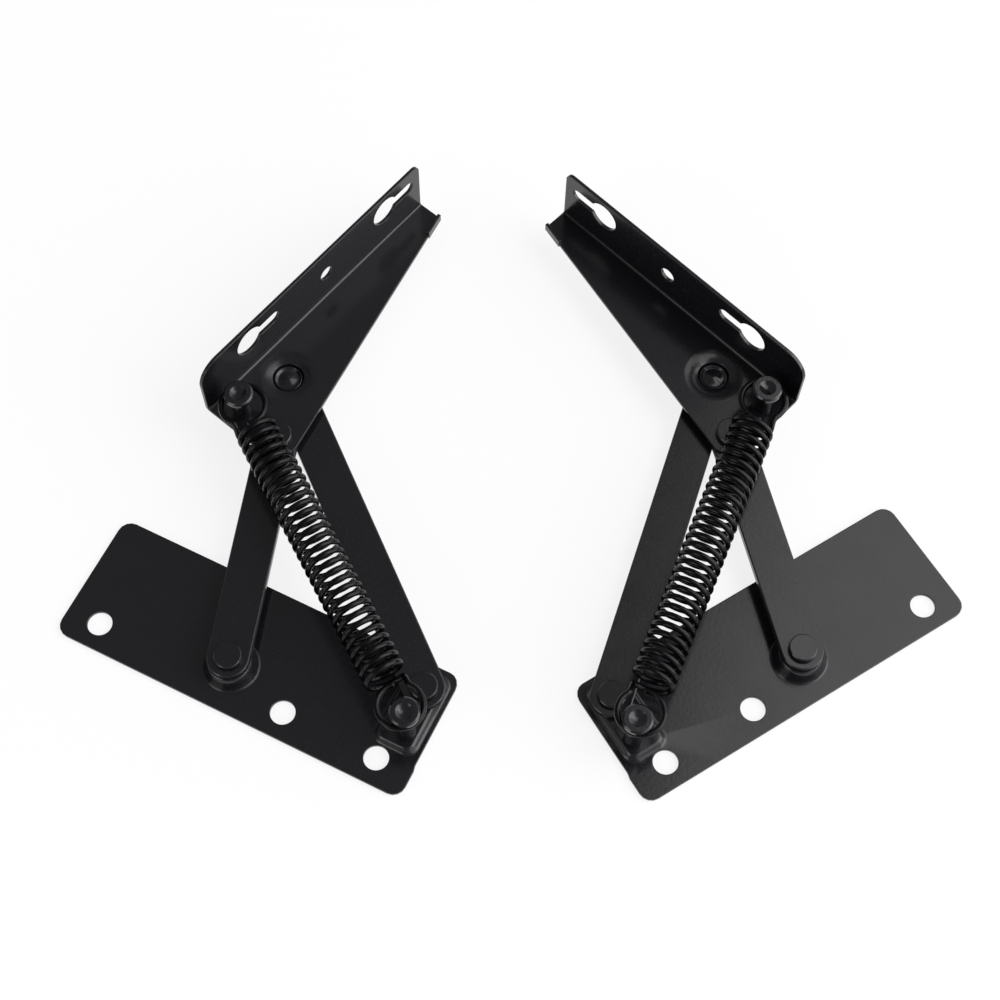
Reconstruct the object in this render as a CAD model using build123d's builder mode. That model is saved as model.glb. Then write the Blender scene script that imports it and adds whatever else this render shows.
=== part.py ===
from build123d import *
import os
from math import asin, atan2, cos, degrees, hypot, pi, radians, sin, sqrt

# Sofa bed hinge, a left-hand and a right-hand one, opened and laid on a table.
# Each hinge is drawn once, as the left-hand one, in its own frame: X along the base
# plate's long lower edge, Y across the plate, Z away from the rail that the plate is
# screwed to, with the plate's back at Z = 0. The right-hand hinge is its mirror image.

# Sheet, bars and running fits
sheet = 1.2
link_thickness = 3.0
link_width = 14.4
running_gap = 0.1
pin_clearance = 0.05
edge_break = 0.3

# Base plate
plate_length = 131.0
plate_width = 46.0
plate_corner = 4.5
screw_hole = 8.5
hole_from_edge = 8.9
long_pitch = 70.6
short_pitch = 35.0
holes_off_middle = 0.4

# Pivots and spring post on the base plate
short_pivot_past_corner = 52.92
short_pivot_under_corner = 77.06
pivots_apart_along = 62.26
pivots_apart_across = 20.39
long_pivot_from_end = 9.36
long_pivot_from_top = 9.98
post_past_long_pivot = 1.46
post_under_long_pivot = 15.32

# Round emboss under the short link
emboss_foot_r = 10.5
emboss_top_r = 7.5
soft_edge = 1.0

# Raised pad under the long link and the lower spring post
pad_raise = 2.1
pad_rim = 2.0
pad_beside_pivot = 9.14
pad_under_post = 7.3
pad_corner = 4.5
pad_slope_run = 2.2
drawn_in = 0.45
drawn_from = 11.6

# Seat bracket: a web with a flange turned up along one edge. Its corner is the outer
# foot of the flange at the pivot end. Places on the bracket are given along the flange
# from that corner, and inwards from the flange's outer face.
open_angle = 76.1
bracket_corner = (6.46, 92.69)
flange_length = 113.0
flange_height = 25.6
bend_radius = 0.8
flange_near_corner = 9.0
flange_far_corner = 3.0
web_end_width = 10.64
web_tip_r = 8.0
long_joint_along = 27.8
long_joint_in = 13.5
short_joint_along = 8.0
short_joint_in = 26.85
upper_post_along = 7.2
upper_post_in = 10.9

# Dished recess that brings the web down to the long link
recess_mouth_r = 11.2
recess_floor_r = 5.1
recess_back_r = 6.35
recess_neck_in = 0.75
recess_neck_down = 1.0
recess_slope_out = 1.3
recess_slope_down = 0.36

# Upturned lip at the web's free end
lip_length = 9.0
lip_height = 2.2
lip_proud = 0.5

# Keyholes and locating hole in the flange, heights above the web's back
key_from_free_end = 18.6
key_height = 17.5
key_round = 12.0
key_slot = 5.5
key_length = 21.0
locating_hole = 6.0
locating_past_key = 39.1
locating_height = 13.9

# Rivets
shank_r = 2.5
head_r = 4.75
head_height = 1.9
tail_r = 3.5
tail_height = 1.2
emboss_tail_height = 1.5
dished_head_r = 4.55
dished_head_height = 1.5
dished_tail_r = 4.2
dished_tail_height = 1.4
dish_r = 3.4
dish_depth = 0.5
dimple_r = 1.6
dimple_depth = 0.4
top_head_r = 5.1
top_head_height = 2.0
link_tail_r = 4.5
link_tail_height = 1.7

# Spring posts
pin_r = 2.5
sleeve_r = 3.2
post_head_r = 5.15
post_head_height = 1.9
post_dimple_r = 2.9
post_dimple_depth = 0.95
post_head_level = 22.6
countersink_r = 3.3

# Tension spring
wire = 1.6
wire_sides = 4
coil_r = 6.7
loop_r = 7.65
spring_level = 21.0
whole_turns = 30
coil_setback = 13.2
loop_clearance = 0.1
loop_start_angle = -8.0
loop_end_angle = 306.0
coil_lead = 35.0

# How the two hinges lie on the table
left_place = (-150.11, -50.30)
left_turn = -26.09
right_place = (159.49, -40.26)
right_turn = 31.88

# Levels, from the plate's back upwards
pad_front = sheet + pad_raise
long_back = pad_front + running_gap
long_front = long_back + link_thickness
short_back = long_front + running_gap
short_front = short_back + link_thickness
web_back = short_front + running_gap
web_front = web_back + sheet
emboss_front = short_back - running_gap
recess_back = long_front + running_gap
recess_front = recess_back + sheet
bore_r = shank_r + pin_clearance

# Places on the base plate and along the flange
short_pivot = (bracket_corner[0] + short_pivot_past_corner, bracket_corner[1] - short_pivot_under_corner)
long_pivot = (short_pivot[0] + pivots_apart_along, short_pivot[1] + pivots_apart_across)
lower_post = (long_pivot[0] + post_past_long_pivot, long_pivot[1] - post_under_long_pivot)
plate_end = long_pivot[0] + long_pivot_from_end
plate_top = long_pivot[1] + long_pivot_from_top
plate_start = plate_end - plate_length
plate_foot = plate_top - plate_width
hole_row = plate_foot + hole_from_edge
first_hole = plate_start + (plate_length - long_pitch - short_pitch) / 2 - holes_off_middle
key_first = flange_length - key_from_free_end - long_pitch
locating_along = key_first + locating_past_key


def on_bracket(along, inwards):
    """Point of the hinge frame at a place on the bracket."""
    turn = radians(open_angle)
    x = bracket_corner[0] + along * cos(turn) + inwards * sin(turn)
    y = bracket_corner[1] + along * sin(turn) - inwards * cos(turn)
    return (x, y)


def between(a, b):
    """Middle, length and direction in degrees of the line from a to b."""
    middle = ((a[0] + b[0]) / 2, (a[1] + b[1]) / 2)
    return middle, hypot(b[0] - a[0], b[1] - a[1]), degrees(atan2(b[1] - a[1], b[0] - a[0]))


long_joint = on_bracket(long_joint_along, long_joint_in)
short_joint = on_bracket(short_joint_along, short_joint_in)
upper_post = on_bracket(upper_post_along, upper_post_in)

# Planes of the bracket: its web seen from the front, the flange seen from outside,
# and the section square to the flange
flange_dir = Vector(cos(radians(open_angle)), sin(radians(open_angle)), 0)
inward_dir = Vector(sin(radians(open_angle)), -cos(radians(open_angle)), 0)
corner = Vector(bracket_corner[0], bracket_corner[1], web_back)
web_plane = Plane(origin=corner, x_dir=flange_dir, z_dir=(0, 0, 1))
flange_plane = Plane(origin=corner, x_dir=flange_dir, z_dir=inward_dir)
section_plane = Plane(origin=corner, x_dir=inward_dir, z_dir=-flange_dir)


def half_section(centre):
    """Upright plane through a pivot, its X the radius and its Y the level."""
    return Plane(origin=(centre[0], centre[1], 0), x_dir=(1, 0, 0), z_dir=(0, -1, 0))


def countersink(foot, clearance):
    """Half section of the flush foot of a spring post."""
    Polygon(
        (0, foot),
        (countersink_r + clearance, foot),
        (pin_r + clearance, foot + countersink_r - pin_r),
        (0, foot + countersink_r - pin_r),
        align=None,
    )


# Base plate with its round emboss, its raised pad and three screw holes
pad_end = plate_end - pad_rim
pad_top = plate_top - pad_rim
pad_bottom = lower_post[1] - pad_under_post
pad_length = pad_end - long_pivot[0] + pad_beside_pivot
pad_middle = (pad_end - pad_length / 2, (pad_bottom + pad_top) / 2)
pad_height = pad_top - pad_bottom
emboss_slope = (emboss_foot_r - emboss_top_r) / (emboss_front - sheet)
emboss_wall = sheet * sqrt(1 + emboss_slope**2)
hollow_foot_r = emboss_foot_r + sheet * emboss_slope - emboss_wall
hollow_top_r = emboss_top_r + sheet * emboss_slope - emboss_wall
hole_places = [
    (first_hole, hole_row),
    (first_hole + long_pitch, hole_row),
    (first_hole + long_pitch + short_pitch, hole_row),
]

with BuildPart() as base_plate:
    # Outline, its short edge drawn in a little beside the pad
    with BuildSketch() as plate:
        with BuildLine():
            Polyline(
                (plate_start, plate_foot),
                (plate_end, plate_foot),
                (plate_end, plate_foot + drawn_from),
                (plate_end - drawn_in, plate_foot + drawn_from + drawn_in),
                (plate_end - drawn_in, plate_top),
                (plate_start, plate_top),
                close=True,
            )
        make_face()
        corners = [
            (plate_start, plate_foot),
            (plate_end, plate_foot),
            (plate_end - drawn_in, plate_top),
            (plate_start, plate_top),
        ]
        fillet([plate.vertices().sort_by_distance(place)[0] for place in corners], plate_corner)
    extrude(amount=sheet)
    with BuildSketch(Plane.XY.offset(sheet)):
        with Locations(pad_middle):
            RectangleRounded(pad_length, pad_height, pad_corner)
    with BuildSketch(Plane.XY.offset(pad_front)):
        with Locations(pad_middle):
            RectangleRounded(
                pad_length - 2 * pad_slope_run,
                pad_height - 2 * pad_slope_run,
                pad_corner - pad_slope_run / 2,
            )
    loft(ruled=True)
    with BuildSketch(Plane.XY):
        with Locations(pad_middle):
            RectangleRounded(
                pad_length - pad_slope_run, pad_height - pad_slope_run, pad_corner - pad_slope_run / 2
            )
    with BuildSketch(Plane.XY.offset(pad_raise)):
        with Locations(pad_middle):
            RectangleRounded(
                pad_length - 2.6 * pad_slope_run,
                pad_height - 2.6 * pad_slope_run,
                pad_corner - pad_slope_run,
            )
    loft(ruled=True, mode=Mode.SUBTRACT)
    with BuildSketch(half_section(short_pivot)) as emboss_outside:
        with BuildLine():
            Polyline(
                (0, 0),
                (emboss_foot_r + sheet, 0),
                (emboss_foot_r + sheet, sheet),
                (emboss_foot_r, sheet),
                (emboss_top_r, emboss_front),
                (0, emboss_front),
                close=True,
            )
        make_face()
        fillet(emboss_outside.vertices().sort_by_distance((emboss_foot_r, sheet))[0], soft_edge)
        fillet(emboss_outside.vertices().sort_by_distance((emboss_top_r, emboss_front))[0], soft_edge)
    revolve(axis=Axis((short_pivot[0], short_pivot[1], 0), (0, 0, 1)))
    with BuildSketch(half_section(short_pivot)):
        with BuildLine():
            Polyline(
                (0, 0),
                (hollow_foot_r, 0),
                (hollow_top_r, emboss_front - sheet),
                (0, emboss_front - sheet),
                close=True,
            )
        make_face()
    revolve(axis=Axis((short_pivot[0], short_pivot[1], 0), (0, 0, 1)), mode=Mode.SUBTRACT)
    with BuildSketch():
        with Locations(*hole_places):
            Circle(screw_hole / 2)
    extrude(amount=pad_front, mode=Mode.SUBTRACT)
    with BuildSketch():
        with Locations(short_pivot, long_pivot):
            Circle(bore_r)
        with Locations(lower_post):
            Circle(pin_r + pin_clearance)
    extrude(amount=emboss_front, mode=Mode.SUBTRACT)
    with BuildSketch(half_section(lower_post)):
        countersink(pad_raise, pin_clearance)
    revolve(axis=Axis((lower_post[0], lower_post[1], 0), (0, 0, 1)), mode=Mode.SUBTRACT)


# Links: flat bars with round ends and a bore at each end
def link_bar(a, b, back):
    """Flat bar from pivot a to pivot b, its back at the given level."""
    middle, length, direction = between(a, b)
    with BuildPart() as bar:
        with BuildSketch(Plane.XY.offset(back)):
            with Locations(middle):
                SlotCenterToCenter(length, link_width, rotation=direction)
            with Locations(a, b):
                Circle(bore_r, mode=Mode.SUBTRACT)
        extrude(amount=link_thickness)
        edges = bar.faces().filter_by(Axis.Z).edges()
        rims = edges.filter_by(lambda edge: edge.length > 2 * pi * (bore_r + edge_break))
        chamfer(rims, edge_break)
    return bar


long_link = link_bar(long_pivot, long_joint, long_back)
short_link = link_bar(short_pivot, short_joint, short_back)


# Seat bracket: the web's outer edge runs from its free end to the round tip
end_to_tip = (short_joint_along - flange_length, web_end_width - short_joint_in)
edge_turn = atan2(end_to_tip[1], end_to_tip[0]) + asin(web_tip_r / hypot(end_to_tip[0], end_to_tip[1]))
web_end = web_plane.from_local_coords((flange_length, -web_end_width, 0))
edge_dir = flange_dir * cos(edge_turn) - inward_dir * sin(edge_turn)
lip_plane = Plane(origin=web_end, x_dir=edge_dir, z_dir=(0, 0, 1))
web_reach = short_joint_in + web_tip_r + sheet
with BuildPart() as seat_bracket:
    with BuildSketch(section_plane) as section:
        with BuildLine():
            Polyline(
                (0, flange_height),
                (0, 0),
                (web_reach, 0),
                (web_reach, sheet),
                (sheet, sheet),
                (sheet, flange_height),
                close=True,
            )
        make_face()
        fillet(section.vertices().sort_by_distance((0, 0))[0], bend_radius + sheet)
        fillet(section.vertices().sort_by_distance((sheet, sheet))[0], bend_radius)
    extrude(amount=-flange_length)
    with BuildSketch(web_plane):
        with BuildLine():
            Line((0, 0), (flange_length, 0))
            Line((flange_length, 0), (flange_length, -web_end_width))
            CenterArc((short_joint_along, -short_joint_in), web_tip_r, 0, 360)
        make_hull()
    extrude(amount=flange_height, mode=Mode.INTERSECT)
    with BuildSketch(flange_plane) as flange_outline:
        with Locations((flange_length / 2, flange_height / 2)):
            Rectangle(flange_length, flange_height)
        corners = flange_outline.vertices()
        fillet(corners.sort_by_distance((0, flange_height))[0], flange_near_corner)
        corners = flange_outline.vertices()
        fillet(corners.sort_by_distance((flange_length, flange_height))[0], flange_far_corner)
    extrude(amount=web_reach, mode=Mode.INTERSECT)
    with BuildSketch(flange_plane) as key_outline:
        for start in (key_first, key_first + long_pitch):
            slot_run = key_length - key_round / 2 - key_slot / 2
            with Locations((start, key_height)):
                Circle(key_round / 2)
            with Locations((start + slot_run / 2, key_height)):
                SlotCenterToCenter(slot_run, key_slot)
        with Locations((locating_along, locating_height)):
            Circle(locating_hole / 2)
    extrude(amount=sheet, mode=Mode.SUBTRACT)
    # Upturned lip along the web's outer edge at its free end
    with BuildSketch(lip_plane):
        with Locations((lip_length / 2, lip_proud - sheet / 2)):
            Rectangle(lip_length, sheet)
    extrude(amount=sheet + lip_height)
    # Recess pressed down to the long link, dished in front, plain behind
    with BuildSketch(web_plane.offset(recess_back - web_back)):
        with Locations((long_joint_along, -long_joint_in)):
            Circle(recess_back_r)
    extrude(amount=web_front - recess_back)
    with BuildSketch(half_section(long_joint)):
        with BuildLine():
            rim = (recess_mouth_r, web_front)
            neck = (recess_back_r - recess_neck_in, web_front - recess_neck_down)
            slope = (recess_back_r + recess_slope_out, web_front - recess_slope_down)
            Polyline((0, recess_front), (recess_floor_r, recess_front), neck)
            ThreePointArc(neck, slope, rim)
            Polyline(rim, (recess_mouth_r, web_front + sheet), (0, web_front + sheet), (0, recess_front))
        make_face()
    revolve(axis=Axis((long_joint[0], long_joint[1], 0), (0, 0, 1)), mode=Mode.SUBTRACT)
    # Bores for the two rivets and the countersunk hole for the upper spring post
    with BuildSketch(web_plane.offset(recess_back - web_back)):
        with Locations((long_joint_along, -long_joint_in), (short_joint_along, -short_joint_in)):
            Circle(bore_r)
        with Locations((upper_post_along, -upper_post_in)):
            Circle(pin_r + pin_clearance)
    extrude(amount=web_front - recess_back, mode=Mode.SUBTRACT)
    with BuildSketch(half_section(upper_post)):
        countersink(web_back, pin_clearance)
    revolve(axis=Axis((upper_post[0], upper_post[1], 0), (0, 0, 1)), mode=Mode.SUBTRACT)


# Rivets and spring posts, turned pieces about a pivot's axis
def turned(centre, *outline):
    """Turned piece on a pivot, from its half section as (radius, level) points."""
    with BuildPart() as piece:
        with BuildSketch(half_section(centre)):
            with BuildLine():
                Polyline(*outline, close=True)
            make_face()
        revolve(axis=Axis((centre[0], centre[1], 0), (0, 0, 1)))
    return piece


def flat_rivet(centre, tail_level, tail_depth, head_level):
    """Rivet with a flat head; its tail is clenched under tail_level."""
    top = head_level + head_height
    return turned(
        centre,
        (0, tail_level - tail_depth),
        (tail_r, tail_level - tail_depth),
        (tail_r, tail_level),
        (shank_r, tail_level),
        (shank_r, head_level),
        (head_r, head_level),
        (head_r, top - edge_break),
        (head_r - edge_break, top),
        (0, top),
    )


short_link_base_rivet = flat_rivet(
    short_pivot, emboss_front - sheet, emboss_tail_height, short_front + running_gap
)
long_link_base_rivet = flat_rivet(long_pivot, pad_raise, tail_height, long_front + running_gap)

# The rivet through the recess has a dished head and a tail behind the long link
dished_top = recess_front + dished_head_height
dished_tail_top = long_back - running_gap
long_link_bracket_rivet = turned(
    long_joint,
    (0, dished_tail_top - dished_tail_height),
    (dished_tail_r, dished_tail_top - dished_tail_height),
    (dished_tail_r, dished_tail_top),
    (shank_r, dished_tail_top),
    (shank_r, recess_front),
    (dished_head_r, recess_front),
    (dished_head_r, dished_top - edge_break),
    (dished_head_r - edge_break, dished_top),
    (dish_r, dished_top),
    (dish_r - dish_depth, dished_top - dish_depth),
    (dimple_r, dished_top - dish_depth),
    (0, dished_top - dish_depth - dimple_depth),
)

# The rivet between the bracket and the short link, parted in the running gap there:
# the head half stays with the bracket, the tail half with the link
top_head_top = web_front + top_head_height
short_link_bracket_rivet_head = turned(
    short_joint,
    (0, web_back),
    (shank_r, web_back),
    (shank_r, web_front),
    (top_head_r, web_front),
    (top_head_r, top_head_top - edge_break),
    (top_head_r - edge_break, top_head_top),
    (0, top_head_top),
)
short_link_bracket_rivet_tail = turned(
    short_joint,
    (0, short_back - link_tail_height),
    (link_tail_r, short_back - link_tail_height),
    (link_tail_r, short_back),
    (shank_r, short_back),
    (shank_r, short_front),
    (0, short_front),
)

# Spring posts: a headed pin riveted flush at its foot, inside a sleeve
def spring_stud(centre, foot):
    """Headed pin with its foot riveted flush at the given level and a bowl in its head."""
    top = post_head_level + post_head_height
    bowl_r = (post_dimple_r**2 + post_dimple_depth**2) / (2 * post_dimple_depth)
    with BuildPart() as stud:
        with BuildSketch(half_section(centre)):
            with BuildLine():
                Polyline(
                    (0, foot),
                    (countersink_r, foot),
                    (pin_r, foot + countersink_r - pin_r),
                    (pin_r, post_head_level),
                    (post_head_r, post_head_level),
                    (post_head_r, top - 2 * edge_break),
                    (post_head_r - 2 * edge_break, top),
                    (post_dimple_r, top),
                )
                RadiusArc((post_dimple_r, top), (0, top - post_dimple_depth), bowl_r)
                Line((0, top - post_dimple_depth), (0, foot))
            make_face()
        revolve(axis=Axis((centre[0], centre[1], 0), (0, 0, 1)))
    return stud


def spring_sleeve(centre, foot, top):
    """Sleeve round a stud's pin."""
    return turned(
        centre,
        (pin_r + pin_clearance, foot),
        (sleeve_r, foot),
        (sleeve_r, top),
        (pin_r + pin_clearance, top),
    )


lower_spring_stud = spring_stud(lower_post, pad_raise)
lower_spring_sleeve = spring_sleeve(lower_post, pad_front + running_gap, post_head_level - running_gap)
upper_spring_stud = spring_stud(upper_post, web_back)
upper_spring_sleeve = spring_sleeve(upper_post, web_front, post_head_level)


# Tension spring: one wire, a full loop round each post and a coil between them. Its own
# frame has X from the lower post to the upper one and Z square to the plate.
spring_middle, post_gap, spring_direction = between(lower_post, upper_post)
spring_plane = Plane(
    origin=(lower_post[0], lower_post[1], spring_level),
    x_dir=(cos(radians(spring_direction)), sin(radians(spring_direction)), 0),
    z_dir=(0, 0, 1),
)
loop_centre = loop_r - sleeve_r - wire / 2 - loop_clearance
coil_length = post_gap - 2 * coil_setback
turns = whole_turns + 2 * (90 - coil_lead) / 360
pitch = coil_length / turns


def loop_point(angle):
    """Place and heading on the lower loop at an angle in degrees from +X."""
    a = radians(angle)
    place = Vector(loop_centre + loop_r * cos(a), loop_r * sin(a), 0)
    return place, Vector(-sin(a), cos(a), 0)


def coil_point(turned_by):
    """Place and heading on the coil, a number of turns from its start."""
    a = radians(180 + coil_lead) + 2 * pi * turned_by
    place = Vector(coil_setback + pitch * turned_by, coil_r * cos(a), coil_r * sin(a))
    heading = Vector(pitch, -2 * pi * coil_r * sin(a), 2 * pi * coil_r * cos(a))
    return place, heading.normalized()


def far_end(station):
    """The same station seen from the upper post: half a turn about the spring's middle."""
    place, heading = station
    return Vector(post_gap - place.X, -place.Y, place.Z), Vector(heading.X, heading.Y, -heading.Z)


loop_steps = 4
loop_stations = [
    loop_point(loop_start_angle + (loop_end_angle - loop_start_angle) * n / loop_steps)
    for n in range(loop_steps + 1)
]
half_turns = 2 * whole_turns + 1
coil_stations = [coil_point(turns * n / half_turns) for n in range(half_turns + 1)]
stations = loop_stations + coil_stations + [far_end(station) for station in reversed(loop_stations)]


def biarc(a, b):
    """Two arcs, tangent to each other and to the headings of both stations."""
    (p, u), (q, v) = a, b
    chord = q - p
    spread = 2 * (1 - u.dot(v))
    along = chord.dot(u + v)
    reach = (sqrt(along**2 + spread * chord.dot(chord)) - along) / spread
    knee_a = p + u * reach
    knee_b = q - v * reach
    joint = (knee_a + knee_b) / 2
    return [(p, joint, u), (joint, q, (knee_b - knee_a).normalized())]


def in_hinge_frame(place, heading):
    """A station of the spring's own frame in the hinge frame."""
    foot = spring_plane.from_local_coords(place)
    return foot, spring_plane.from_local_coords(place + heading) - foot


stations = [in_hinge_frame(place, heading) for place, heading in stations]
arcs = [arc for a, b in zip(stations, stations[1:]) for arc in biarc(a, b)]
with BuildPart() as spring:
    with BuildLine() as wire_path:
        for start, end, heading in arcs:
            TangentArc(start, end, tangent=heading)
    with BuildSketch(Plane(origin=wire_path.wire() @ 0, z_dir=wire_path.wire() % 0)) as wire_section:
        RegularPolygon(wire / 2, wire_sides)
    sweep(clean=False)


# Both hands, laid on the table: the frame's origin is under the middle of the pair
pieces = {
    "base_plate": base_plate,
    "short_link": short_link,
    "long_link": long_link,
    "seat_bracket": seat_bracket,
    "short_link_base_rivet": short_link_base_rivet,
    "long_link_base_rivet": long_link_base_rivet,
    "long_link_bracket_rivet": long_link_bracket_rivet,
    "short_link_bracket_rivet_head": short_link_bracket_rivet_head,
    "short_link_bracket_rivet_tail": short_link_bracket_rivet_tail,
    "lower_spring_stud": lower_spring_stud,
    "lower_spring_sleeve": lower_spring_sleeve,
    "upper_spring_stud": upper_spring_stud,
    "upper_spring_sleeve": upper_spring_sleeve,
    "spring": spring,
}
left_lie = Location((left_place[0], left_place[1], 0), (0, 0, left_turn))
right_lie = Location((right_place[0], right_place[1], 0), (0, 0, right_turn))
pair = {}
for name, piece in pieces.items():
    pair["left_" + name] = left_lie * piece.part
    pair["right_" + name] = right_lie * mirror(piece.part, about=Plane.YZ)

outline = Compound([part for name, part in pair.items() if not name.endswith("spring")]).bounding_box()
centre = outline.center()
os.makedirs("parts", exist_ok=True)
for name, part in pair.items():
    part = Location((-centre.X, -centre.Y, 0)) * part
    part.label = name
    export_step(part, "parts/" + name + ".step")

# What the wire's shape comes to
length = wire_path.wire().length
marks = [wire_path.wire() @ (n / 1500) for n in range(1501)]
skip = int(1500 * 4 * wire / length) + 1
gap = min((a - b).length for i, a in enumerate(marks) for b in marks[i + skip : i + 160]) - wire
print("spring pitch", round(pitch, 3), "wire length", round(length, 1), "least gap", round(gap, 2))
print("tightest arc", round(min(edge.radius for edge in wire_path.edges()), 2))
section_area = wire_section.sketch.area
print("spring volume over section times length", round(spring.part.volume / (section_area * length), 4))
print("frame origin in the drawn table frame", round(centre.X, 3), round(centre.Y, 3))
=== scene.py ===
import math

import bpy
import numpy as np
from mathutils import Matrix, Vector
from mathutils.geometry import delaunay_2d_cdt


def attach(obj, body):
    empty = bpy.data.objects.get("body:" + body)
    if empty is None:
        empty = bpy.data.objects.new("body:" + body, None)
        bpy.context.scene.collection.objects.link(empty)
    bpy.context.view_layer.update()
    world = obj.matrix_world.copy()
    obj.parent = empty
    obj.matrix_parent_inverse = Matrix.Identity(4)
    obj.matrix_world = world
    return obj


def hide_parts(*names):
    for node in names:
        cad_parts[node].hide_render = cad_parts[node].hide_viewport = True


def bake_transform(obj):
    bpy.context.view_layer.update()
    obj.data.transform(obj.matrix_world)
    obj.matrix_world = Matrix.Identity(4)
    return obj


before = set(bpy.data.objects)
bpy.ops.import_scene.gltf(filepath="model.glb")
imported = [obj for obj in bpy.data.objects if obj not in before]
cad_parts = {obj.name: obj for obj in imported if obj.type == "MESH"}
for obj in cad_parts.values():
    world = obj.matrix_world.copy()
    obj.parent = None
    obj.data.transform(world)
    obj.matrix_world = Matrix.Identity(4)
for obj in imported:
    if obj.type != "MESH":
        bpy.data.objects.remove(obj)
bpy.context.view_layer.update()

hands = ("left", "right")


# Base plates. Each is pressed from 1.2 mm steel sheet and dipped in black stove enamel:
# a cone-sided emboss carries the short link, a raised pad carries the long link and the
# lower spring post, and three holes take the screws into the rail.
class Value:
    """A number or colour that varies over the surface: one output socket in a material."""

    def __init__(self, tree, socket):
        self.tree = tree
        self.socket = socket

    def maths(self, operation, *inputs):
        return made_by(self.tree, "ShaderNodeMath", {"operation": operation}, dict(enumerate(inputs)))

    def __add__(self, other):
        return self.maths("ADD", self, other)

    def __radd__(self, other):
        return self.maths("ADD", other, self)

    def __sub__(self, other):
        return self.maths("SUBTRACT", self, other)

    def __rsub__(self, other):
        return self.maths("SUBTRACT", other, self)

    def __mul__(self, other):
        return self.maths("MULTIPLY", self, other)

    def __rmul__(self, other):
        return self.maths("MULTIPLY", other, self)

    def above(self, level, softness):
        """0 under the level, 1 over it, with a soft step of the given width."""
        return made_by(
            self.tree,
            "ShaderNodeMapRange",
            {"interpolation_type": "SMOOTHSTEP"},
            {"Value": self, "From Min": level - softness / 2, "From Max": level + softness / 2},
        )


def made_by(tree, kind, settings, inputs, output=0):
    """Adds any node: its settings first, then a value or a link on each named input."""
    node = tree.nodes.new(kind)
    for name, setting in settings.items():
        setattr(node, name, setting)
    for name, given in inputs.items():
        socket = node.inputs[name]
        if isinstance(given, Value):
            tree.links.new(given.socket, socket)
        else:
            socket.default_value = given
    return Value(tree, node.outputs[output])


def black_enamel(name, black, painted_edge_highlight, gloss, peel_mm, edge_mm, shine=0.42):
    """Stove enamel on steel. black is its colour, the second colour a painted highlight: a lighter
    colour laid along its edges, gloss its roughness, peel_mm the size of its orange peel, edge_mm
    the rounding that the coat gives a cut edge, and shine how strongly it mirrors."""
    material = bpy.data.materials.new(name)
    material.use_nodes = True
    tree = material.node_tree
    tree.nodes.clear()
    place = made_by(tree, "ShaderNodeTexCoord", {}, {}, "Object")
    cloud = made_by(
        tree, "ShaderNodeTexNoise", {}, {"Vector": place, "Scale": 45.0, "Detail": 3.0, "Roughness": 0.55}
    )
    peel = made_by(
        tree, "ShaderNodeTexNoise", {}, {"Vector": place, "Scale": 1000.0 / peel_mm, "Detail": 1.0}
    )
    speck = made_by(
        tree, "ShaderNodeTexNoise", {}, {"Vector": place, "Scale": 2600.0, "Detail": 0.0}
    ).above(0.76, 0.04)
    rounded = made_by(tree, "ShaderNodeBevel", {"samples": 6}, {"Radius": edge_mm / 1000.0})
    facing = made_by(tree, "ShaderNodeNewGeometry", {}, {}, "Normal")
    agreement = made_by(
        tree, "ShaderNodeVectorMath", {"operation": "DOT_PRODUCT"}, {0: rounded, 1: facing}, "Value"
    )
    # Painted highlight: where the Bevel normal turns away from the face's normal, the base colour is mixed
    # towards the lighter edge colour, standing in for light caught by rounded edges.
    edge = (1.0 - agreement).above(0.07, 0.12)
    shade = made_by(
        tree,
        "ShaderNodeMix",
        {"data_type": "RGBA"},
        {"Factor": edge * (0.35 + cloud * 0.6), "A": (*black, 1.0), "B": (*painted_edge_highlight, 1.0)},
        "Result",
    )
    roughness = gloss + (cloud - 0.5) * 0.16 + speck * 0.12 - edge * 0.04
    skin = made_by(
        tree,
        "ShaderNodeBump",
        {},
        {"Strength": 0.35, "Distance": 0.00004, "Height": peel + speck * 0.6, "Normal": rounded},
    )
    coat = made_by(
        tree,
        "ShaderNodeBsdfPrincipled",
        {},
        {
            "Base Color": shade,
            "Roughness": roughness,
            "Metallic": 0.0,
            "IOR": 1.5,
            "Specular IOR Level": shine,
            "Normal": skin,
        },
    )
    end = tree.nodes.new("ShaderNodeOutputMaterial")
    tree.links.new(coat.socket, end.inputs["Surface"])
    return material


def finish_nodes(material, *names):
    """Gives the CAD nodes of both hands one finish."""
    for hand in hands:
        for name in names:
            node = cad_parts[hand + "_" + name]
            for slot in node.material_slots:
                slot.link = "OBJECT"
                slot.material = material


plate_enamel = black_enamel(
    "plate enamel", (0.0065, 0.0065, 0.008), (0.03, 0.03, 0.034), gloss=0.18, peel_mm=1.3, edge_mm=0.45
)
# Lengths are in millimetres: x runs along the plate from its far end, y up from its
# lower edge and z out from its back. A box is its left, foot, right and top.
sheet = 1.2
plate_box = (0.0, 0.0, 131.0, 46.0)
plate_corner = 4.5
screw_holes = [(12.3, 8.9), (82.9, 8.9), (117.9, 8.9)]
screw_hole_r = 4.25
emboss_middle = (59.38, 15.63)
emboss_top_r, emboss_foot_r, emboss_rise = 6.9, 9.8, 5.2
pad_box = (112.5, 13.4, 129.0, 44.0)
pad_corner, pad_slope, pad_rise = 4.5, 2.3, 2.1
draw_in, draw_in_from, draw_in_fade = 0.45, (126.5, 11.6), (4.5, 0.45)
# Where each hinge's plate lies in the row: x, y, turn in degrees, and -1 if mirrored
row_shift = (-4.601, -4.466)
lies = {"left": (-150.11, -50.30, -26.09, 1.0), "right": (159.49, -40.26, 31.88, -1.0)}


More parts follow.
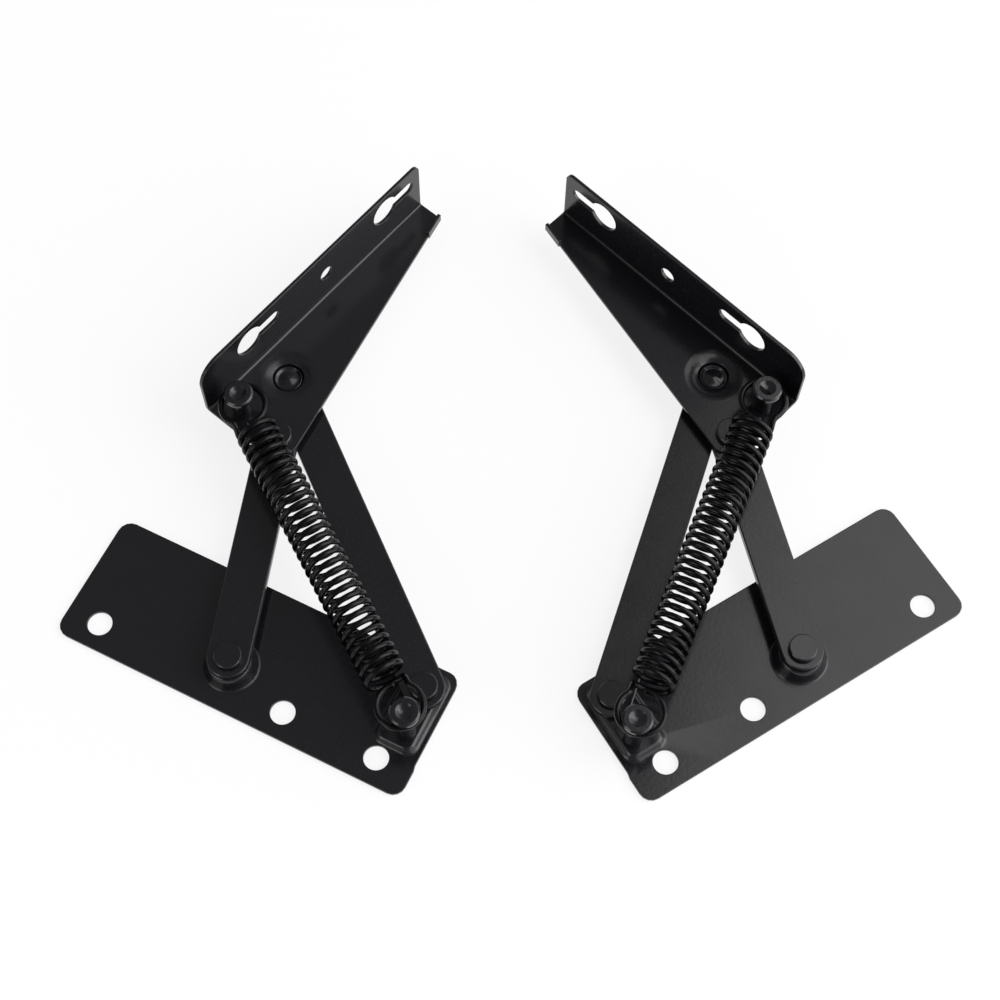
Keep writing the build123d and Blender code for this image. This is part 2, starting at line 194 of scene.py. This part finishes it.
def depth_in(x, y, box, corner):
    """How far inside a round-cornered rectangle a place lies: the corner's radius less its
    distance from the rectangle shrunk by that radius on every side."""
    left, foot, right, top = box
    across = np.abs(x - (left + right) / 2) - (right - left) / 2 + corner
    along = np.abs(y - (foot + top) / 2) - (top - foot) / 2 + corner
    beyond = np.hypot(np.maximum(across, 0), np.maximum(along, 0))
    return corner - beyond - np.minimum(np.maximum(across, along), 0)


def drawn(share):
    """Smooth rise of pressed sheet from 0 to 1: 3 t squared less 2 t cubed."""
    t = np.clip(share, 0, 1)
    return t * t * (3 - 2 * t)


def plate_front(x, y):
    """Level of the plate's front: the sheet, raised round the short pivot by the emboss
    and at the end by the pad, each along a smooth rise from its foot to its top edge."""
    from_pivot = np.hypot(x - emboss_middle[0], y - emboss_middle[1])
    emboss = drawn((emboss_foot_r - from_pivot) / (emboss_foot_r - emboss_top_r))
    pad = drawn(depth_in(x, y, pad_box, pad_corner) / pad_slope)
    return sheet + emboss_rise * emboss + pad_rise * pad


def end_drawn_in(x, y):
    """How far the plate's short edge is drawn in beside the pad, fading inwards."""
    share_x = np.clip((x - draw_in_from[0]) / draw_in_fade[0], 0, 1)
    share_y = np.clip((y - draw_in_from[1]) / draw_in_fade[1], 0, 1)
    return draw_in * share_y * share_x


def arc(middle, radius, turn):
    """Places on a circle at the given angles."""
    return np.stack([middle[0] + radius * np.cos(turn), middle[1] + radius * np.sin(turn)], 1)


def circle(middle, radius, count):
    """Evenly spaced places round a circle."""
    return arc(middle, radius, np.linspace(0, 2 * math.pi, count, endpoint=False))


def round_box(box, corner, step):
    """Places about one step apart round a round-cornered rectangle, anticlockwise: a
    quarter circle at each corner, and each straight run between them cut evenly."""
    left, foot, right, top = box
    turn = np.linspace(0, math.pi / 2, max(4, round(corner * 1.6 / step) + 1))
    middles = [
        (right - corner, foot + corner, -1),
        (right - corner, top - corner, 0),
        (left + corner, top - corner, 1),
        (left + corner, foot + corner, 2),
    ]
    loop = np.vstack([arc((x, y), corner, turn + quarter * math.pi / 2) for x, y, quarter in middles])
    run = np.roll(loop, -1, axis=0) - loop
    cuts = np.maximum(np.ceil(np.linalg.norm(run, axis=1) / step - 1e-6).astype(int), 1)
    share = (np.arange(cuts.sum()) - np.repeat(np.cumsum(cuts) - cuts, cuts)) / np.repeat(cuts, cuts)
    return np.repeat(loop, cuts, 0) + share[:, None] * np.repeat(run, cuts, 0)


def cut_from_sheet(loops, inner, keep):
    """Triangles of a flat sheet: those between the given edge loops and inner places whose
    middles the keep function accepts."""
    places = [tuple(place) for loop in loops + inner for place in loop.tolist()]
    edges, first = [], 0
    for loop in loops:
        count = len(loop)
        edges += [(first + n, first + (n + 1) % count) for n in range(count)]
        first += count
    flat, _, triangles, *_ = delaunay_2d_cdt([Vector(place) for place in places], edges, [], 0, 1e-5)
    flat = np.array([tuple(place) for place in flat])
    triangles = np.array([tuple(triangle) for triangle in triangles])
    a, b, c = (flat[triangles[:, n]] for n in range(3))
    turned = (b[:, 0] - a[:, 0]) * (c[:, 1] - a[:, 1]) - (b[:, 1] - a[:, 1]) * (c[:, 0] - a[:, 0])
    triangles[turned < 0] = triangles[turned < 0][:, ::-1]
    middle = (a + b + c) / 3
    return flat, triangles[keep(middle[:, 0], middle[:, 1]) & (np.abs(turned) > 1e-7)]


def pressed(flat, triangles, front, thickness):
    """Closed sheet from its flat triangles: the front lies at the front function's level,
    the back is the front moved square to it by the thickness, and a wall joins them
    along every edge that only one triangle has."""
    x, y = flat[:, 0], flat[:, 1]
    step = 0.02
    slope_x = (front(x + step, y) - front(x - step, y)) / (2 * step)
    slope_y = (front(x, y + step) - front(x, y - step)) / (2 * step)
    square = np.stack([-slope_x, -slope_y, np.ones_like(x)], 1)
    square /= np.linalg.norm(square, axis=1, keepdims=True)
    top = np.stack([x, y, front(x, y)], 1)
    points = np.vstack([top, top - square * thickness])
    count = len(flat)
    sides = np.vstack([triangles[:, [0, 1]], triangles[:, [1, 2]], triangles[:, [2, 0]]])
    keys = np.sort(sides, axis=1)
    _, first, times = np.unique(keys[:, 0] * count + keys[:, 1], return_index=True, return_counts=True)
    rim = sides[first[times == 1]]
    walls = np.stack([rim[:, 1], rim[:, 0], rim[:, 0] + count, rim[:, 1] + count], 1)
    return points, [triangles, triangles[:, ::-1] + count, walls]


def onto_table(points, hand):
    """Places of the hinge frame, in millimetres, as places of the row frame, in metres:
    mirrored for the right hand, turned and moved to where that hinge lies."""
    x, y, turn, mirror = lies[hand]
    c, s = math.cos(math.radians(turn)), math.sin(math.radians(turn))
    px, py = points[:, 0] * mirror, points[:, 1]
    moved = np.stack(
        [c * px - s * py + x + row_shift[0], s * px + c * py + y + row_shift[1], points[:, 2]], 1
    )
    return moved / 1000.0


def smooth_piece(name, points, faces, material, hand, sharp_over=40.0):
    """Puts one hand's points and faces into a new mesh object at the origin, smooth but for
    edges sharper than the given angle. The right hand is mirrored, so its faces turn."""
    order = -1 if hand == "right" else 1
    rows = [row[::order] for block in faces for row in np.asarray(block).tolist()]
    mesh = bpy.data.meshes.new(name)
    mesh.from_pydata(onto_table(points, hand).tolist(), [], rows)
    mesh.polygons.foreach_set("use_smooth", np.ones(len(rows), dtype=bool))
    mesh.set_sharp_from_angle(angle=math.radians(sharp_over))
    mesh.materials.append(material)
    mesh.update()
    piece = bpy.data.objects.new(name, mesh)
    bpy.context.scene.collection.objects.link(piece)
    return piece


plate_edge = round_box(plate_box, plate_corner, 2.0)
plate_edge[:, 0] -= end_drawn_in(plate_edge[:, 0], plate_edge[:, 1])
screw_edges = [circle(middle, screw_hole_r, 64) for middle in screw_holes]
emboss_radii = np.linspace(emboss_top_r - 0.5, emboss_foot_r + 0.5, 20)
emboss_rings = [circle(emboss_middle, radius, 96) for radius in emboss_radii]
emboss_rings += [circle(emboss_middle, 3.2, 24)]
pad_rings = [
    round_box(
        (pad_box[0] + d, pad_box[1] + d, pad_box[2] - d, pad_box[3] - d), max(pad_corner - d, 1.5), 0.8
    )
    for d in np.linspace(-0.3, pad_slope + 0.4, 15)
]


def on_plate(x, y):
    """Whether a place is on the plate: inside its edge and outside its screw holes."""
    inside = depth_in(x + end_drawn_in(x, y), y, plate_box, plate_corner) > 0
    for hole_x, hole_y in screw_holes:
        inside &= np.hypot(x - hole_x, y - hole_y) > screw_hole_r * 0.998
    return inside


plate_flat, plate_triangles = cut_from_sheet([plate_edge] + screw_edges, emboss_rings + pad_rings, on_plate)
plate_points, plate_faces = pressed(plate_flat, plate_triangles, plate_front, sheet)
for hand in hands:
    plate = smooth_piece(hand + "_pressed_plate", plate_points, plate_faces, plate_enamel, hand)
    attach(plate, "base")
    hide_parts(hand + "_base_plate")


# Links. Flat bars of 3 mm steel with round ends, blanked, tumbled and dipped black.
link_enamel = black_enamel(
    "link enamel", (0.006, 0.006, 0.0075), (0.03, 0.03, 0.034), gloss=0.2, peel_mm=1.1, edge_mm=0.4
)
finish_nodes(link_enamel, "short_link", "long_link")


# Seat brackets. Bent from the same sheet as the plates: a web on the links and an
# upturned flange with two keyholes and a locating hole for the seat's screws.
bracket_enamel = black_enamel(
    "bracket enamel", (0.0065, 0.0065, 0.008), (0.03, 0.03, 0.034), gloss=0.19, peel_mm=1.2, edge_mm=0.45
)
finish_nodes(bracket_enamel, "seat_bracket")


# Rivets and spring posts. Turned and clenched steel, coated after the hinge is riveted
# together, so the enamel stands thicker and glossier round their heads.
rivet_enamel = black_enamel(
    "rivet enamel", (0.006, 0.006, 0.0075), (0.04, 0.04, 0.045), gloss=0.17, peel_mm=0.9, edge_mm=0.25
)
finish_nodes(
    rivet_enamel,
    "short_link_base_rivet",
    "long_link_base_rivet",
    "short_link_bracket_rivet_head",
    "short_link_bracket_rivet_tail",
    "lower_spring_stud",
    "lower_spring_sleeve",
    "upper_spring_stud",
    "upper_spring_sleeve",
)


# Rivets through the brackets' recesses. Each is clenched with a rolled rim that fills the
# recess's floor, a groove inside it and a low dome in the middle; its tail lies flat
# behind the long link.
recess_joint = (26.243, 116.433)
rim_r, rim_round, rim_top = 4.97, 0.35, 9.2
groove_r, groove_level, dome_rise = 3.75, 8.5, 0.76
shank_r, recess_floor = 2.5, 7.7
tail_r, tail_edge, tail_foot, tail_top = 4.2, 0.3, 1.9, 3.3


def ring_walls(rings, sides):
    """Four-sided faces between neighbouring rings of places, each ring closed on itself."""
    rows, columns = np.meshgrid(np.arange(rings - 1), np.arange(sides), indexing="ij")
    here, right = rows * sides + columns, rows * sides + (columns + 1) % sides
    return np.stack([here, right, right + sides, here + sides], -1).reshape(-1, 4)


def turned(outline, middle, sides):
    """Closed turned piece: each place of the half section, given as radius and level from
    the foot to the top, goes round as a ring; a point on the axis closes either end."""
    round_the = np.linspace(0, 2 * math.pi, sides, endpoint=False)
    radius, level = outline[:, :1], outline[:, 1:]
    rings = np.stack(
        [
            middle[0] + radius * np.cos(round_the),
            middle[1] + radius * np.sin(round_the),
            np.repeat(level, sides, 1),
        ],
        -1,
    )
    ends = np.array([[*middle, outline[0, 1]], [*middle, outline[-1, 1]]])
    points = np.vstack([rings.reshape(-1, 3), ends])
    walls = ring_walls(len(outline), sides)
    here, there = np.arange(sides), (np.arange(sides) + 1) % sides
    last = (len(outline) - 1) * sides
    foot = np.stack([there, here, np.full(sides, len(points) - 2)], 1)
    top = np.stack([last + here, last + there, np.full(sides, len(points) - 1)], 1)
    return points, [walls, foot, top]


rim_middle = (rim_r - rim_round, rim_top - rim_round)
rim_outside = arc(rim_middle, rim_round, np.linspace(0, math.pi / 2, 8))
rim_inside = np.linspace([rim_r - rim_round, rim_top], [groove_r, groove_level], 8)[1:]
dome_r = np.linspace(groove_r, 0.1, 18)[1:]
dome = np.stack([dome_r, groove_level + dome_rise * drawn(1 - dome_r / groove_r)], 1)
shank = np.array(
    [
        [tail_r - tail_edge, tail_foot],
        [tail_r, tail_foot + tail_edge],
        [tail_r, tail_top],
        [shank_r, tail_top],
        [shank_r, recess_floor],
        [rim_r, recess_floor],
    ]
)
rivet_points, rivet_faces = turned(np.vstack([shank, rim_outside, rim_inside, dome]), recess_joint, 72)
for hand in hands:
    rivet = smooth_piece(hand + "_clenched_rivet", rivet_points, rivet_faces, rivet_enamel, hand)
    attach(rivet, hand + "_bracket_body")
    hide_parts(hand + "_long_link_bracket_rivet")


# Tension springs. 2 mm spring wire wound into a coil, its ends bent into a full loop
# round each post, then blackened. One unbroken wire each, stretched open a little.
wire_r = 1.04
wire_sides = 14
end_rings = 4
end_bulge = 0.6
coil_r = 6.65
coil_start = 215.0
coil_turns = 30 + 110 / 360
coil_steps = 30
coil_setback = 13.2
loop_r = 7.65
loop_in = 3.4
loop_start, loop_end = -8.0, 306.0
bend_steps = 16
blend_setback = 12.6
post_gap = 129.2889
wire_level = 21.0
lower_post = (123.1, 20.7)
upper_post = (18.7705, 97.0607)


def loop_line(angles):
    """Centre line and outward direction of the lower loop: a circle of the loop's radius
    in the spring's own plane, set back towards the coil, at the given angles."""
    out = np.stack([np.cos(angles), np.sin(angles), np.zeros_like(angles)], 1)
    return out * loop_r + np.array([loop_in, 0.0, 0.0]), out


def coil_line(turns):
    """Centre line and outward direction of the coil: a helix that moves one pitch along
    the spring for each turn, from its starting angle at the lower end."""
    angles = math.radians(coil_start) + 2 * math.pi * turns
    pitch = (post_gap - 2 * coil_setback) / coil_turns
    out = np.stack([np.zeros_like(angles), np.cos(angles), np.sin(angles)], 1)
    return out * coil_r + np.stack([coil_setback + pitch * turns, 0 * turns, 0 * turns], 1), out


def bridge(start, start_way, end, end_way, steps):
    """Smooth curve from one place to another: the cubic whose ends follow both given
    directions, each as long as the straight distance between them."""
    t = np.linspace(0, 1, steps)[1:-1, None]
    reach = np.linalg.norm(end - start)
    return (
        (2 * t**3 - 3 * t**2 + 1) * start
        + (t**3 - 2 * t**2 + t) * reach * start_way
        + (3 * t**2 - 2 * t**3) * end
        + (t**3 - t**2) * reach * end_way
    )


def far_half(points):
    """The same points seen from the upper post, half a turn about the spring's middle."""
    return points[::-1] * np.array([-1.0, -1.0, 1.0])


def wire_tube(line, out, sides, cap_rings):
    """Round wire along a centre line. Each ring is a circle square to the line, spanned
    by the outward direction made square to it and their cross product; the rings at both
    ends shrink along a quarter circle and close at a point."""
    along = np.gradient(line, axis=0)
    along /= np.linalg.norm(along, axis=1, keepdims=True)
    out = out - (out * along).sum(1, keepdims=True) * along
    out /= np.linalg.norm(out, axis=1, keepdims=True)
    side = np.cross(along, out)
    swell = np.linspace(0, math.pi / 2, cap_rings + 1)[:-1]
    near = line[0] - along[0] * wire_r * end_bulge * np.cos(swell)[:, None]
    far = line[-1] + along[-1] * wire_r * end_bulge * np.cos(swell[::-1])[:, None]
    centres = np.vstack([near, line, far])
    outs = np.vstack([np.repeat(out[:1], cap_rings, 0), out, np.repeat(out[-1:], cap_rings, 0)])
    sides_way = np.vstack([np.repeat(side[:1], cap_rings, 0), side, np.repeat(side[-1:], cap_rings, 0)])
    radii = np.concatenate(
        [np.maximum(np.sin(swell), 0.02), np.ones(len(line)), np.maximum(np.sin(swell[::-1]), 0.02)]
    )
    round_the = np.linspace(0, 2 * math.pi, sides, endpoint=False)
    ring = (
        outs[:, None, :] * np.cos(round_the)[None, :, None]
        + sides_way[:, None, :] * np.sin(round_the)[None, :, None]
    )
    points = centres[:, None, :] + ring * (wire_r * radii)[:, None, None]
    quads = ring_walls(len(centres), sides)[:, [0, 3, 2, 1]]
    last = (len(centres) - 1) * sides
    caps = [list(range(sides)), list(range(last + sides - 1, last - 1, -1))]
    return points.reshape(-1, 3), quads, caps


spring_enamel = black_enamel(
    "spring enamel",
    (0.002, 0.002, 0.0025),
    (0.02, 0.02, 0.023),
    gloss=0.13,
    peel_mm=0.8,
    edge_mm=0.05,
    shine=0.16,
)
loop_places, loop_outs = loop_line(np.radians(np.linspace(loop_start, loop_end, 96)))
coil_places, coil_outs = coil_line(np.linspace(0, coil_turns, int(coil_turns * coil_steps) + 1))
loop_way = np.array([-math.sin(math.radians(loop_end)), math.cos(math.radians(loop_end)), 0.0])
coil_way = coil_places[1] - coil_places[0]
coil_way = coil_way / np.linalg.norm(coil_way)
bend = bridge(loop_places[-1], loop_way, coil_places[0], coil_way, bend_steps)
bend_share = np.linspace(0, 1, bend_steps)[1:-1, None]
bend_outs = loop_outs[-1] * (1 - bend_share) + coil_outs[0] * bend_share
lower_line = np.vstack([loop_places, bend])
lower_outs = np.vstack([loop_outs, bend_outs])
upper_line = far_half(lower_line) + np.array([post_gap, 0.0, 0.0])
upper_outs = far_half(lower_outs)
spring_line = np.vstack([lower_line, coil_places, upper_line])
spring_outs = np.vstack([lower_outs, coil_outs, upper_outs])
points, quads, caps = wire_tube(spring_line, spring_outs, wire_sides, end_rings)
spring_way = np.array([upper_post[0] - lower_post[0], upper_post[1] - lower_post[1]]) / post_gap
hinge_points = np.stack(
    [
        lower_post[0] + points[:, 0] * spring_way[0] - points[:, 1] * spring_way[1],
        lower_post[1] + points[:, 0] * spring_way[1] + points[:, 1] * spring_way[0],
        wire_level + points[:, 2],
    ],
    1,
)
blend_ends = np.array(
    [
        [lower_post[0] + spring_way[0] * t, lower_post[1] + spring_way[1] * t, wire_level]
        for t in (blend_setback, post_gap - blend_setback)
    ]
)
for hand in hands:
    piece = smooth_piece(hand + "_wound_spring", hinge_points, [quads, caps], spring_enamel, hand, 80.0)
    start, end = onto_table(blend_ends, hand).tolist()
    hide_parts(hand + "_spring")
    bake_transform(piece)


# The table that the hinges lie on: a plain pale sheet, no part of the hinges.
table_half, table_level = 40.0, -0.0002
table_corners = [(-1, -1), (1, -1), (1, 1), (-1, 1)]
table_mesh = bpy.data.meshes.new("table")
table_mesh.from_pydata(
    [(x * table_half, y * table_half, table_level) for x, y in table_corners], [], [(0, 1, 2, 3)]
)
table = bpy.data.objects.new("table", table_mesh)
bpy.context.scene.collection.objects.link(table)
pale = bpy.data.materials.new("pale table")
pale.use_nodes = True
tree = pale.node_tree
tree.nodes.clear()
seen = made_by(tree, "ShaderNodeLightPath", {}, {}, "Is Camera Ray")
mirrored = Value(tree, seen.socket.node.outputs["Is Glossy Ray"])
through = Value(tree, seen.socket.node.outputs["Is Transmission Ray"])
paper = made_by(tree, "ShaderNodeBsdfDiffuse", {}, {"Color": (0.88, 0.88, 0.88, 1.0)})
glow = made_by(tree, "ShaderNodeEmission", {}, {"Color": (1.0, 1.0, 1.0, 1.0), "Strength": 1.0})
mixed = made_by(
    tree, "ShaderNodeMixShader", {}, {0: (seen + mirrored + through) * 0.82, 1: paper, 2: glow}
)
tree.links.new(mixed.socket, tree.nodes.new("ShaderNodeOutputMaterial").inputs["Surface"])
table_mesh.materials.append(pale)


# Studio light: one softbox behind on the right, whose sheen lies on the right-hand plate,
# a broad one at the right, a small one in front on the left, and a room with a pale
# right-hand wall.
def standing(right, up, back, place):
    """Matrix of a lamp or camera from its right, up and back directions and its place."""
    return Matrix(np.vstack([np.stack([right, up, back, place], 1), [0, 0, 0, 1]]).tolist())


def softbox(name, place, size, watts, spin=0.0):
    """A rectangular lamp at a place, facing the middle of the table and spun about that
    line by the given degrees."""
    lamp = bpy.data.lights.new(name, "AREA")
    lamp.shape = "RECTANGLE"
    lamp.size, lamp.size_y = size
    lamp.energy = watts
    box = bpy.data.objects.new(name, lamp)
    bpy.context.scene.collection.objects.link(box)
    back = np.array(place) / np.linalg.norm(place)
    right = np.cross([0.0, 1.0, 0.0], back)
    right /= np.linalg.norm(right)
    up = np.cross(back, right)
    c, s = math.cos(math.radians(spin)), math.sin(math.radians(spin))
    box.matrix_world = standing(right * c + up * s, up * c - right * s, back, place)
    return box


softbox("sheen softbox", (0.6, 0.32, 1.27), (0.84, 0.8), 4.2, spin=-20.0)
softbox("right softbox", (1.15, -0.2, 0.6), (1.7, 1.0), 12.0)
softbox("front left softbox", (-1.0, -0.9, 0.6), (0.8, 0.8), 6.0)
dim_walls, pale_wall = 0.28, 1.9
room = bpy.data.worlds.new("grey room")
bpy.context.scene.world = room
room.use_nodes = True
tree = room.node_tree
tree.nodes.clear()
way = made_by(tree, "ShaderNodeTexCoord", {}, {}, "Generated")
to_the_right = made_by(tree, "ShaderNodeSeparateXYZ", {}, {"Vector": way}, "X")
walls = made_by(
    tree,
    "ShaderNodeBackground",
    {},
    {"Color": (1.0, 1.0, 1.02, 1.0), "Strength": dim_walls + to_the_right.above(0.5, 0.7) * pale_wall},
)
seen = made_by(tree, "ShaderNodeLightPath", {}, {}, "Is Camera Ray")
white = made_by(tree, "ShaderNodeBackground", {}, {"Color": (1.0, 1.0, 1.0, 1.0), "Strength": 1.0})
room_light = made_by(tree, "ShaderNodeMixShader", {}, {0: seen, 1: walls, 2: white})
tree.links.new(room_light.socket, tree.nodes.new("ShaderNodeOutputWorld").inputs["Surface"])


# Camera: it stands in front of the pair and looks down at 25 degrees from plumb, from
# 653 mm, a hair turned and rolled.
stand_off = 0.6530
lean = math.radians(24.98)
swing = math.radians(0.506)
roll = math.radians(-0.214)
right = np.array([math.cos(swing), 0.0, math.sin(swing)])
up = np.array([-math.sin(swing) * math.sin(lean), math.cos(lean), math.cos(swing) * math.sin(lean)])
back = np.array([-math.sin(swing) * math.cos(lean), -math.sin(lean), math.cos(swing) * math.cos(lean)])
level_right = right * math.cos(roll) - up * math.sin(roll)
level_up = right * math.sin(roll) + up * math.cos(roll)
eye = back * stand_off + np.array([row_shift[0], row_shift[1], 0.0]) / 1000.0
lens = bpy.data.cameras.new("camera")
lens.lens = 67.16
lens.sensor_width = 36.0
lens.clip_start = 0.01
lens.clip_end = 20.0
camera = bpy.data.objects.new("camera", lens)
bpy.context.scene.collection.objects.link(camera)
camera.matrix_world = standing(level_right, level_up, back, eye)
bpy.context.scene.camera = camera
bpy.context.scene.view_settings.view_transform = "Standard"
